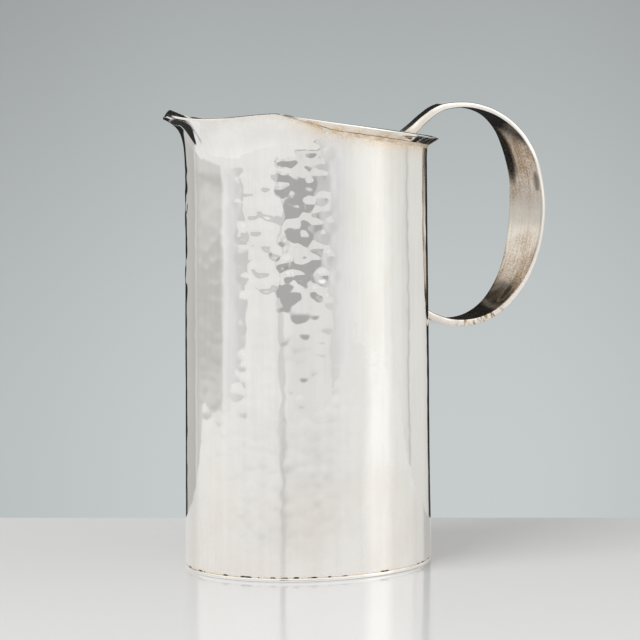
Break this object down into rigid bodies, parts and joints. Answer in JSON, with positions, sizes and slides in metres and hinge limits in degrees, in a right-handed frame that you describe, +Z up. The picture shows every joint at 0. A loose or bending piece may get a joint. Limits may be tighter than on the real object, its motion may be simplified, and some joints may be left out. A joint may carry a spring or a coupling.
{
  "type": "silver jug",
  "caption": "Oval hand-hammered silver jug with a pulled spout, a leaning rim strip, a flat base and a forged loop handle, for pouring drinks.",
  "frame": {"origin": "centre of the flat underside of the base, on the surface that the jug stands on", "axes": "+Z up, -X towards the spout, +X towards the handle; the XZ plane is the plane of symmetry"},
  "size_m": [0.2183, 0.1072, 0.2074],
  "materials": {
    "silver_sheet": "polished silver sheet with soft hammer marks",
    "silver_forged": "polished forged silver with brown tarnish in its hollows",
    "solder": "dull silver solder, tarnished brown"
  },
  "bodies": {
    "root": {"body_wall": "silver_sheet", "base_plate": "silver_sheet", "rim_strip": "silver_sheet", "handle_strap": "silver_forged", "base_solder": "solder", "rim_solder": "solder", "handle_lap_solder": "solder", "handle_foot_solder": "solder"}
  },
  "joints": []
}
